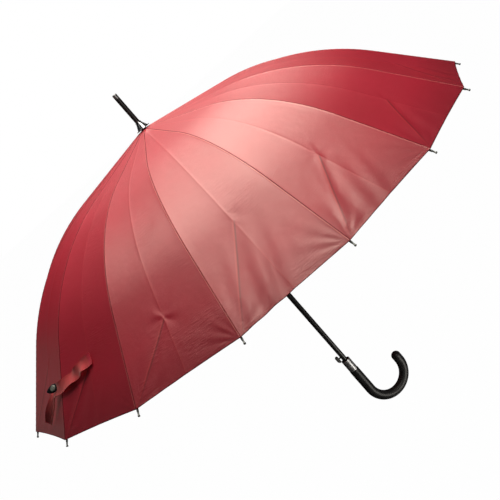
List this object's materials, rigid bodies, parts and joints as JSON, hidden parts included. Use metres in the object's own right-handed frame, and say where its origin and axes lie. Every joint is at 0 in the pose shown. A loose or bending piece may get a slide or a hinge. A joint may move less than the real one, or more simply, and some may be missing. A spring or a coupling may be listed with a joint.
{
  "type": "stick umbrella",
  "caption": "Long umbrella, opened: red panelled dome canopy on hinged ribs and stretchers, runner on a slotted black shaft, crook handle, collar, release button, ferrule and closing strap.",
  "frame": {"origin": "on the shaft's axis inside the straight grip of the handle, 23 mm under the collar", "axes": "+Z along the shaft towards the ferrule, +X towards the crook's open side, +Y completes the right-handed frame"},
  "size_m": [1.0588, 1.0588, 0.835],
  "materials": {
    "canopy_cloth": "satin polyester pongee, red",
    "strap_cloth": "satin polyester webbing, red",
    "shaft": "gloss black lacquer",
    "stretcher_steel": "black lacquered steel channel",
    "rib_rod": "black glass-fibre rod",
    "black_plastic": "fine moulded",
    "handle_plastic": "soft satin moulded",
    "button_plastic": "satin moulded",
    "collar_metal": "polished gunmetal plating",
    "bright_metal": "bright nickel plating",
    "stud_metal": "antiqued snap",
    "spring_steel": "drawn spring wire"
  },
  "bodies": {
    "frame": {"shaft": "shaft", "ferrule": "black_plastic", "ferrule_cup": "bright_metal", "crown": "black_plastic", "canopy": "canopy_cloth", "opening_spring": "spring_steel", "handle": "handle_plastic", "handle_collar": "collar_metal"},
    "runner": {"runner": "black_plastic"},
    "release_button": {"release_button": "button_plastic"},
    "closure_strap": {"closure_strap": "strap_cloth", "strap_stud": "stud_metal"},
    "rib_inner_01": {"rib_inner_01": "rib_rod"},
    "rib_outer_01": {"rib_outer_01": "rib_rod"},
    "stretcher_01": {"stretcher_01": "stretcher_steel"},
    "rib_inner_02": {"rib_inner_02": "rib_rod"},
    "rib_outer_02": {"rib_outer_02": "rib_rod"},
    "stretcher_02": {"stretcher_02": "stretcher_steel"},
    "rib_inner_03": {"rib_inner_03": "rib_rod"},
    "rib_outer_03": {"rib_outer_03": "rib_rod"},
    "stretcher_03": {"stretcher_03": "stretcher_steel"},
    "rib_inner_04": {"rib_inner_04": "rib_rod"},
    "rib_outer_04": {"rib_outer_04": "rib_rod"},
    "stretcher_04": {"stretcher_04": "stretcher_steel"},
    "rib_inner_05": {"rib_inner_05": "rib_rod"},
    "rib_outer_05": {"rib_outer_05": "rib_rod"},
    "stretcher_05": {"stretcher_05": "stretcher_steel"},
    "rib_inner_06": {"rib_inner_06": "rib_rod"},
    "rib_outer_06": {"rib_outer_06": "rib_rod"},
    "stretcher_06": {"stretcher_06": "stretcher_steel"},
    "rib_inner_07": {"rib_inner_07": "rib_rod"},
    "rib_outer_07": {"rib_outer_07": "rib_rod"},
    "stretcher_07": {"stretcher_07": "stretcher_steel"},
    "rib_inner_08": {"rib_inner_08": "rib_rod"},
    "rib_outer_08": {"rib_outer_08": "rib_rod"},
    "stretcher_08": {"stretcher_08": "stretcher_steel"},
    "rib_inner_09": {"rib_inner_09": "rib_rod"},
    "rib_outer_09": {"rib_outer_09": "rib_rod"},
    "stretcher_09": {"stretcher_09": "stretcher_steel"},
    "rib_inner_10": {"rib_inner_10": "rib_rod"},
    "rib_outer_10": {"rib_outer_10": "rib_rod"},
    "stretcher_10": {"stretcher_10": "stretcher_steel"},
    "rib_inner_11": {"rib_inner_11": "rib_rod"},
    "rib_outer_11": {"rib_outer_11": "rib_rod"},
    "stretcher_11": {"stretcher_11": "stretcher_steel"},
    "rib_inner_12": {"rib_inner_12": "rib_rod"},
    "rib_outer_12": {"rib_outer_12": "rib_rod"},
    "stretcher_12": {"stretcher_12": "stretcher_steel"},
    "rib_inner_13": {"rib_inner_13": "rib_rod"},
    "rib_outer_13": {"rib_outer_13": "rib_rod"},
    "stretcher_13": {"stretcher_13": "stretcher_steel"},
    "rib_inner_14": {"rib_inner_14": "rib_rod"},
    "rib_outer_14": {"rib_outer_14": "rib_rod"},
    "stretcher_14": {"stretcher_14": "stretcher_steel"},
    "rib_inner_15": {"rib_inner_15": "rib_rod"},
    "rib_outer_15": {"rib_outer_15": "rib_rod"},
    "stretcher_15": {"stretcher_15": "stretcher_steel"},
    "rib_inner_16": {"rib_inner_16": "rib_rod"},
    "rib_outer_16": {"rib_outer_16": "rib_rod"},
    "stretcher_16": {"stretcher_16": "stretcher_steel"}
  },
  "joints": [
    {"name": "runner_slide", "type": "slide", "parent": "frame", "child": "runner", "axis": [0, 0, -1], "range_m": [0, 0.35737], "stiffness_N_per_m": 40, "springref_m": -0.25, "deforming": ["canopy", "opening_spring"]},
    {"name": "button_press", "type": "slide", "parent": "frame", "child": "release_button", "axis": [1, 0, 0], "range_m": [0, 0.002], "stiffness_N_per_m": 400, "springref_m": -0.002},
    {"name": "rib_hinge_01", "type": "hinge", "parent": "frame", "child": "rib_inner_01", "pos_m": [0.011, 0, 0.6605], "axis": [0, 1, 0], "range_deg": [0, 76.4]},
    {"name": "rib_flex_01", "type": "hinge", "parent": "rib_inner_01", "child": "rib_outer_01", "pos_m": [0.27225, 0, 0.60127], "axis": [0, -1, 0], "range_deg": [0, 30.1]},
    {"name": "stretcher_hinge_01", "type": "hinge", "parent": "rib_inner_01", "child": "stretcher_01", "pos_m": [0.26572, 0, 0.59858], "axis": [0, -1, 0], "range_deg": [0, 139.8]},
    {"name": "rib_hinge_02", "type": "hinge", "parent": "frame", "child": "rib_inner_02", "pos_m": [0.01016, 0.00421, 0.6605], "axis": [-0.3827, 0.9239, 0], "range_deg": [0, 76.4]},
    {"name": "rib_flex_02", "type": "hinge", "parent": "rib_inner_02", "child": "rib_outer_02", "pos_m": [0.25153, 0.10419, 0.60127], "axis": [0.3827, -0.9239, 0], "range_deg": [0, 30.1]},
    {"name": "stretcher_hinge_02", "type": "hinge", "parent": "rib_inner_02", "child": "stretcher_02", "pos_m": [0.24549, 0.10168, 0.59858], "axis": [0.3827, -0.9239, 0], "range_deg": [0, 139.8]},
    {"name": "rib_hinge_03", "type": "hinge", "parent": "frame", "child": "rib_inner_03", "pos_m": [0.00778, 0.00778, 0.6605], "axis": [-0.7071, 0.7071, 0], "range_deg": [0, 76.4]},
    {"name": "rib_flex_03", "type": "hinge", "parent": "rib_inner_03", "child": "rib_outer_03", "pos_m": [0.19251, 0.19251, 0.60127], "axis": [0.7071, -0.7071, 0], "range_deg": [0, 30.1]},
    {"name": "stretcher_hinge_03", "type": "hinge", "parent": "rib_inner_03", "child": "stretcher_03", "pos_m": [0.18789, 0.18789, 0.59858], "axis": [0.7071, -0.7071, 0], "range_deg": [0, 139.8]},
    {"name": "rib_hinge_04", "type": "hinge", "parent": "frame", "child": "rib_inner_04", "pos_m": [0.00421, 0.01016, 0.6605], "axis": [-0.9239, 0.3827, 0], "range_deg": [0, 76.4]},
    {"name": "rib_flex_04", "type": "hinge", "parent": "rib_inner_04", "child": "rib_outer_04", "pos_m": [0.10419, 0.25153, 0.60127], "axis": [0.9239, -0.3827, 0], "range_deg": [0, 30.1]},
    {"name": "stretcher_hinge_04", "type": "hinge", "parent": "rib_inner_04", "child": "stretcher_04", "pos_m": [0.10168, 0.24549, 0.59858], "axis": [0.9239, -0.3827, 0], "range_deg": [0, 139.8]},
    {"name": "rib_hinge_05", "type": "hinge", "parent": "frame", "child": "rib_inner_05", "pos_m": [0, 0.011, 0.6605], "axis": [-1, 0, 0], "range_deg": [0, 76.4]},
    {"name": "rib_flex_05", "type": "hinge", "parent": "rib_inner_05", "child": "rib_outer_05", "pos_m": [0, 0.27225, 0.60127], "axis": [1, 0, 0], "range_deg": [0, 30.1]},
    {"name": "stretcher_hinge_05", "type": "hinge", "parent": "rib_inner_05", "child": "stretcher_05", "pos_m": [0, 0.26572, 0.59858], "axis": [1, 0, 0], "range_deg": [0, 139.8]},
    {"name": "rib_hinge_06", "type": "hinge", "parent": "frame", "child": "rib_inner_06", "pos_m": [-0.00421, 0.01016, 0.6605], "axis": [-0.9239, -0.3827, 0], "range_deg": [0, 76.4]},
    {"name": "rib_flex_06", "type": "hinge", "parent": "rib_inner_06", "child": "rib_outer_06", "pos_m": [-0.10419, 0.25153, 0.60127], "axis": [0.9239, 0.3827, 0], "range_deg": [0, 30.1]},
    {"name": "stretcher_hinge_06", "type": "hinge", "parent": "rib_inner_06", "child": "stretcher_06", "pos_m": [-0.10168, 0.24549, 0.59858], "axis": [0.9239, 0.3827, 0], "range_deg": [0, 139.8]},
    {"name": "rib_hinge_07", "type": "hinge", "parent": "frame", "child": "rib_inner_07", "pos_m": [-0.00778, 0.00778, 0.6605], "axis": [-0.7071, -0.7071, 0], "range_deg": [0, 76.4]},
    {"name": "rib_flex_07", "type": "hinge", "parent": "rib_inner_07", "child": "rib_outer_07", "pos_m": [-0.19251, 0.19251, 0.60127], "axis": [0.7071, 0.7071, 0], "range_deg": [0, 30.1]},
    {"name": "stretcher_hinge_07", "type": "hinge", "parent": "rib_inner_07", "child": "stretcher_07", "pos_m": [-0.18789, 0.18789, 0.59858], "axis": [0.7071, 0.7071, 0], "range_deg": [0, 139.8]},
    {"name": "rib_hinge_08", "type": "hinge", "parent": "frame", "child": "rib_inner_08", "pos_m": [-0.01016, 0.00421, 0.6605], "axis": [-0.3827, -0.9239, 0], "range_deg": [0, 76.4]},
    {"name": "rib_flex_08", "type": "hinge", "parent": "rib_inner_08", "child": "rib_outer_08", "pos_m": [-0.25153, 0.10419, 0.60127], "axis": [0.3827, 0.9239, 0], "range_deg": [0, 30.1]},
    {"name": "stretcher_hinge_08", "type": "hinge", "parent": "rib_inner_08", "child": "stretcher_08", "pos_m": [-0.24549, 0.10168, 0.59858], "axis": [0.3827, 0.9239, 0], "range_deg": [0, 139.8]},
    {"name": "rib_hinge_09", "type": "hinge", "parent": "frame", "child": "rib_inner_09", "pos_m": [-0.011, 0, 0.6605], "axis": [0, -1, 0], "range_deg": [0, 76.4]},
    {"name": "rib_flex_09", "type": "hinge", "parent": "rib_inner_09", "child": "rib_outer_09", "pos_m": [-0.27225, 0, 0.60127], "axis": [0, 1, 0], "range_deg": [0, 30.1]},
    {"name": "stretcher_hinge_09", "type": "hinge", "parent": "rib_inner_09", "child": "stretcher_09", "pos_m": [-0.26572, 0, 0.59858], "axis": [0, 1, 0], "range_deg": [0, 139.8]},
    {"name": "rib_hinge_10", "type": "hinge", "parent": "frame", "child": "rib_inner_10", "pos_m": [-0.01016, -0.00421, 0.6605], "axis": [0.3827, -0.9239, 0], "range_deg": [0, 76.4]},
    {"name": "rib_flex_10", "type": "hinge", "parent": "rib_inner_10", "child": "rib_outer_10", "pos_m": [-0.25153, -0.10419, 0.60127], "axis": [-0.3827, 0.9239, 0], "range_deg": [0, 30.1]},
    {"name": "stretcher_hinge_10", "type": "hinge", "parent": "rib_inner_10", "child": "stretcher_10", "pos_m": [-0.24549, -0.10168, 0.59858], "axis": [-0.3827, 0.9239, 0], "range_deg": [0, 139.8]},
    {"name": "rib_hinge_11", "type": "hinge", "parent": "frame", "child": "rib_inner_11", "pos_m": [-0.00778, -0.00778, 0.6605], "axis": [0.7071, -0.7071, 0], "range_deg": [0, 76.4]},
    {"name": "rib_flex_11", "type": "hinge", "parent": "rib_inner_11", "child": "rib_outer_11", "pos_m": [-0.19251, -0.19251, 0.60127], "axis": [-0.7071, 0.7071, 0], "range_deg": [0, 30.1]},
    {"name": "stretcher_hinge_11", "type": "hinge", "parent": "rib_inner_11", "child": "stretcher_11", "pos_m": [-0.18789, -0.18789, 0.59858], "axis": [-0.7071, 0.7071, 0], "range_deg": [0, 139.8]},
    {"name": "rib_hinge_12", "type": "hinge", "parent": "frame", "child": "rib_inner_12", "pos_m": [-0.00421, -0.01016, 0.6605], "axis": [0.9239, -0.3827, 0], "range_deg": [0, 76.4]},
    {"name": "rib_flex_12", "type": "hinge", "parent": "rib_inner_12", "child": "rib_outer_12", "pos_m": [-0.10419, -0.25153, 0.60127], "axis": [-0.9239, 0.3827, 0], "range_deg": [0, 30.1]},
    {"name": "stretcher_hinge_12", "type": "hinge", "parent": "rib_inner_12", "child": "stretcher_12", "pos_m": [-0.10168, -0.24549, 0.59858], "axis": [-0.9239, 0.3827, 0], "range_deg": [0, 139.8]},
    {"name": "rib_hinge_13", "type": "hinge", "parent": "frame", "child": "rib_inner_13", "pos_m": [0, -0.011, 0.6605], "axis": [1, 0, 0], "range_deg": [0, 76.4]},
    {"name": "rib_flex_13", "type": "hinge", "parent": "rib_inner_13", "child": "rib_outer_13", "pos_m": [0, -0.27225, 0.60127], "axis": [-1, 0, 0], "range_deg": [0, 30.1]},
    {"name": "stretcher_hinge_13", "type": "hinge", "parent": "rib_inner_13", "child": "stretcher_13", "pos_m": [0, -0.26572, 0.59858], "axis": [-1, 0, 0], "range_deg": [0, 139.8]},
    {"name": "rib_hinge_14", "type": "hinge", "parent": "frame", "child": "rib_inner_14", "pos_m": [0.00421, -0.01016, 0.6605], "axis": [0.9239, 0.3827, 0], "range_deg": [0, 76.4]},
    {"name": "rib_flex_14", "type": "hinge", "parent": "rib_inner_14", "child": "rib_outer_14", "pos_m": [0.10419, -0.25153, 0.60127], "axis": [-0.9239, -0.3827, 0], "range_deg": [0, 30.1]},
    {"name": "stretcher_hinge_14", "type": "hinge", "parent": "rib_inner_14", "child": "stretcher_14", "pos_m": [0.10168, -0.24549, 0.59858], "axis": [-0.9239, -0.3827, 0], "range_deg": [0, 139.8]},
    {"name": "rib_hinge_15", "type": "hinge", "parent": "frame", "child": "rib_inner_15", "pos_m": [0.00778, -0.00778, 0.6605], "axis": [0.7071, 0.7071, 0], "range_deg": [0, 76.4]},
    {"name": "rib_flex_15", "type": "hinge", "parent": "rib_inner_15", "child": "rib_outer_15", "pos_m": [0.19251, -0.19251, 0.60127], "axis": [-0.7071, -0.7071, 0], "range_deg": [0, 30.1]},
    {"name": "stretcher_hinge_15", "type": "hinge", "parent": "rib_inner_15", "child": "stretcher_15", "pos_m": [0.18789, -0.18789, 0.59858], "axis": [-0.7071, -0.7071, 0], "range_deg": [0, 139.8]},
    {"name": "rib_hinge_16", "type": "hinge", "parent": "frame", "child": "rib_inner_16", "pos_m": [0.01016, -0.00421, 0.6605], "axis": [0.3827, 0.9239, 0], "range_deg": [0, 76.4]},
    {"name": "rib_flex_16", "type": "hinge", "parent": "rib_inner_16", "child": "rib_outer_16", "pos_m": [0.25153, -0.10419, 0.60127], "axis": [-0.3827, -0.9239, 0], "range_deg": [0, 30.1]},
    {"name": "stretcher_hinge_16", "type": "hinge", "parent": "rib_inner_16", "child": "stretcher_16", "pos_m": [0.24549, -0.10168, 0.59858], "axis": [-0.3827, -0.9239, 0], "range_deg": [0, 139.8]},
    {"name": "strap_lift", "type": "hinge", "parent": "rib_outer_10", "child": "closure_strap", "pos_m": [-0.36943, -0.24578, 0.46726], "axis": [0.408, 0.5636, 0.7183], "range_deg": [0, 100]}
  ],
  "couplings": [
    {"joint": "rib_hinge_01", "follows": "runner_slide", "rad_per_m": 3.7264},
    {"joint": "rib_flex_01", "follows": "runner_slide", "rad_per_m": 1.4652},
    {"joint": "stretcher_hinge_01", "follows": "runner_slide", "rad_per_m": 6.8185},
    {"joint": "rib_hinge_02", "follows": "runner_slide", "rad_per_m": 3.7264},
    {"joint": "rib_flex_02", "follows": "runner_slide", "rad_per_m": 1.4652},
    {"joint": "stretcher_hinge_02", "follows": "runner_slide", "rad_per_m": 6.8185},
    {"joint": "rib_hinge_03", "follows": "runner_slide", "rad_per_m": 3.7264},
    {"joint": "rib_flex_03", "follows": "runner_slide", "rad_per_m": 1.4652},
    {"joint": "stretcher_hinge_03", "follows": "runner_slide", "rad_per_m": 6.8185},
    {"joint": "rib_hinge_04", "follows": "runner_slide", "rad_per_m": 3.7264},
    {"joint": "rib_flex_04", "follows": "runner_slide", "rad_per_m": 1.4652},
    {"joint": "stretcher_hinge_04", "follows": "runner_slide", "rad_per_m": 6.8185},
    {"joint": "rib_hinge_05", "follows": "runner_slide", "rad_per_m": 3.7264},
    {"joint": "rib_flex_05", "follows": "runner_slide", "rad_per_m": 1.4652},
    {"joint": "stretcher_hinge_05", "follows": "runner_slide", "rad_per_m": 6.8185},
    {"joint": "rib_hinge_06", "follows": "runner_slide", "rad_per_m": 3.7264},
    {"joint": "rib_flex_06", "follows": "runner_slide", "rad_per_m": 1.4652},
    {"joint": "stretcher_hinge_06", "follows": "runner_slide", "rad_per_m": 6.8185},
    {"joint": "rib_hinge_07", "follows": "runner_slide", "rad_per_m": 3.7264},
    {"joint": "rib_flex_07", "follows": "runner_slide", "rad_per_m": 1.4652},
    {"joint": "stretcher_hinge_07", "follows": "runner_slide", "rad_per_m": 6.8185},
    {"joint": "rib_hinge_08", "follows": "runner_slide", "rad_per_m": 3.7264},
    {"joint": "rib_flex_08", "follows": "runner_slide", "rad_per_m": 1.4652},
    {"joint": "stretcher_hinge_08", "follows": "runner_slide", "rad_per_m": 6.8185},
    {"joint": "rib_hinge_09", "follows": "runner_slide", "rad_per_m": 3.7264},
    {"joint": "rib_flex_09", "follows": "runner_slide", "rad_per_m": 1.4652},
    {"joint": "stretcher_hinge_09", "follows": "runner_slide", "rad_per_m": 6.8185},
    {"joint": "rib_hinge_10", "follows": "runner_slide", "rad_per_m": 3.7264},
    {"joint": "rib_flex_10", "follows": "runner_slide", "rad_per_m": 1.4652},
    {"joint": "stretcher_hinge_10", "follows": "runner_slide", "rad_per_m": 6.8185},
    {"joint": "rib_hinge_11", "follows": "runner_slide", "rad_per_m": 3.7264},
    {"joint": "rib_flex_11", "follows": "runner_slide", "rad_per_m": 1.4652},
    {"joint": "stretcher_hinge_11", "follows": "runner_slide", "rad_per_m": 6.8185},
    {"joint": "rib_hinge_12", "follows": "runner_slide", "rad_per_m": 3.7264},
    {"joint": "rib_flex_12", "follows": "runner_slide", "rad_per_m": 1.4652},
    {"joint": "stretcher_hinge_12", "follows": "runner_slide", "rad_per_m": 6.8185},
    {"joint": "rib_hinge_13", "follows": "runner_slide", "rad_per_m": 3.7264},
    {"joint": "rib_flex_13", "follows": "runner_slide", "rad_per_m": 1.4652},
    {"joint": "stretcher_hinge_13", "follows": "runner_slide", "rad_per_m": 6.8185},
    {"joint": "rib_hinge_14", "follows": "runner_slide", "rad_per_m": 3.7264},
    {"joint": "rib_flex_14", "follows": "runner_slide", "rad_per_m": 1.4652},
    {"joint": "stretcher_hinge_14", "follows": "runner_slide", "rad_per_m": 6.8185},
    {"joint": "rib_hinge_15", "follows": "runner_slide", "rad_per_m": 3.7264},
    {"joint": "rib_flex_15", "follows": "runner_slide", "rad_per_m": 1.4652},
    {"joint": "stretcher_hinge_15", "follows": "runner_slide", "rad_per_m": 6.8185},
    {"joint": "rib_hinge_16", "follows": "runner_slide", "rad_per_m": 3.7264},
    {"joint": "rib_flex_16", "follows": "runner_slide", "rad_per_m": 1.4652},
    {"joint": "stretcher_hinge_16", "follows": "runner_slide", "rad_per_m": 6.8185}
  ]
}
